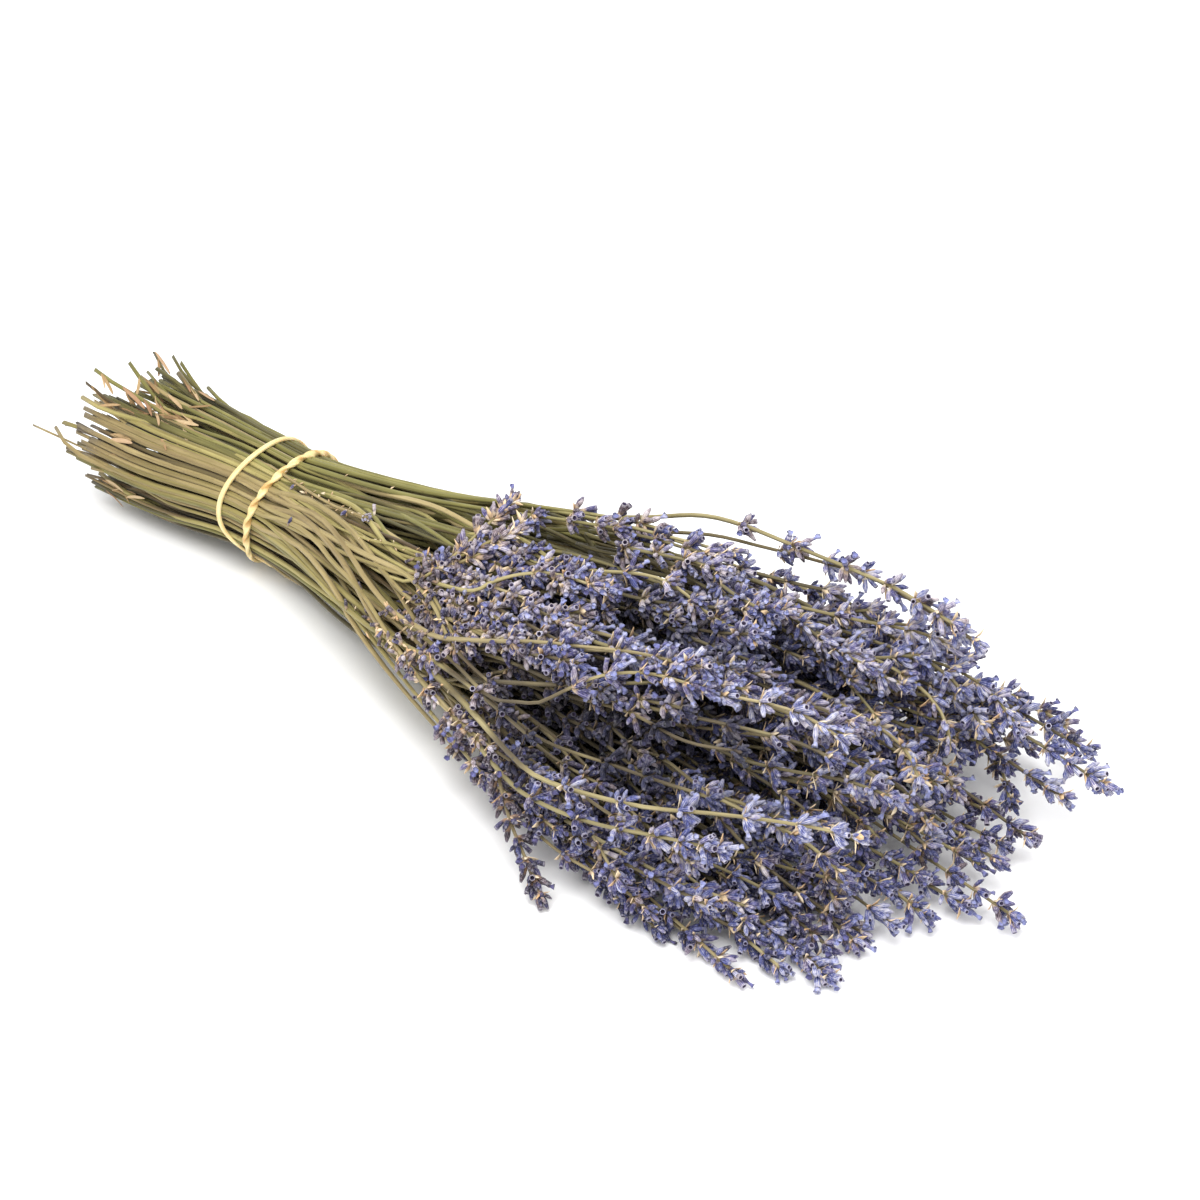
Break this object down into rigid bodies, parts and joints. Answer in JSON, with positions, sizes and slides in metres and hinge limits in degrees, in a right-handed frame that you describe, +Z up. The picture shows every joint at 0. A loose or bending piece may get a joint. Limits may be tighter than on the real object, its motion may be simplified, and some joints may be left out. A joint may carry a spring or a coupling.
{
  "type": "bunch of dried lavender",
  "caption": "Bunch of dried lavender lying on its side: olive stems held by a pale rubber band wrapped twice, spreading into a flat-bottomed head of violet-blue flower spikes.",
  "frame": {"origin": "on the surface that the bunch lies on, under the middle of its box", "axes": "+X along the bunch from the cut ends to the flower tips, +Y across it, +Z up"},
  "size_m": [0.4848, 0.188, 0.0824],
  "materials": {
    "stem": "dry, matt, finely ridged olive to straw stems with paler cut ends",
    "flower": "dry, papery violet-blue calyces with tan bracts, matt with a faint fuzz",
    "band": "pale cream rubber, smooth with a soft sheen"
  },
  "bodies": {
    "root": {"stems_01": "stem", "flower_spikes_01": "flower", "stems_02": "stem", "flower_spikes_02": "flower", "stems_03": "stem", "flower_spikes_03": "flower", "stems_04": "stem", "flower_spikes_04": "flower", "stems_05": "stem", "flower_spikes_05": "flower", "stems_06": "stem", "flower_spikes_06": "flower", "stems_07": "stem", "flower_spikes_07": "flower", "stems_08": "stem", "flower_spikes_08": "flower", "stems_09": "stem", "flower_spikes_09": "flower", "stems_10": "stem", "flower_spikes_10": "flower", "stems_11": "stem", "flower_spikes_11": "flower", "stems_12": "stem", "flower_spikes_12": "flower", "stems_13": "stem", "flower_spikes_13": "flower", "stems_14": "stem", "flower_spikes_14": "flower", "stems_15": "stem", "flower_spikes_15": "flower", "stems_16": "stem", "flower_spikes_16": "flower", "stems_17": "stem", "flower_spikes_17": "flower", "stems_18": "stem", "flower_spikes_18": "flower", "stems_19": "stem", "flower_spikes_19": "flower", "stems_20": "stem", "flower_spikes_20": "flower", "stems_21": "stem", "flower_spikes_21": "flower", "stems_22": "stem", "flower_spikes_22": "flower", "stems_23": "stem", "flower_spikes_23": "flower", "stems_24": "stem", "flower_spikes_24": "flower", "stems_25": "stem", "flower_spikes_25": "flower", "stems_26": "stem", "flower_spikes_26": "flower", "stems_27": "stem", "flower_spikes_27": "flower", "stems_28": "stem", "flower_spikes_28": "flower", "elastic_band": "band"}
  },
  "joints": []
}
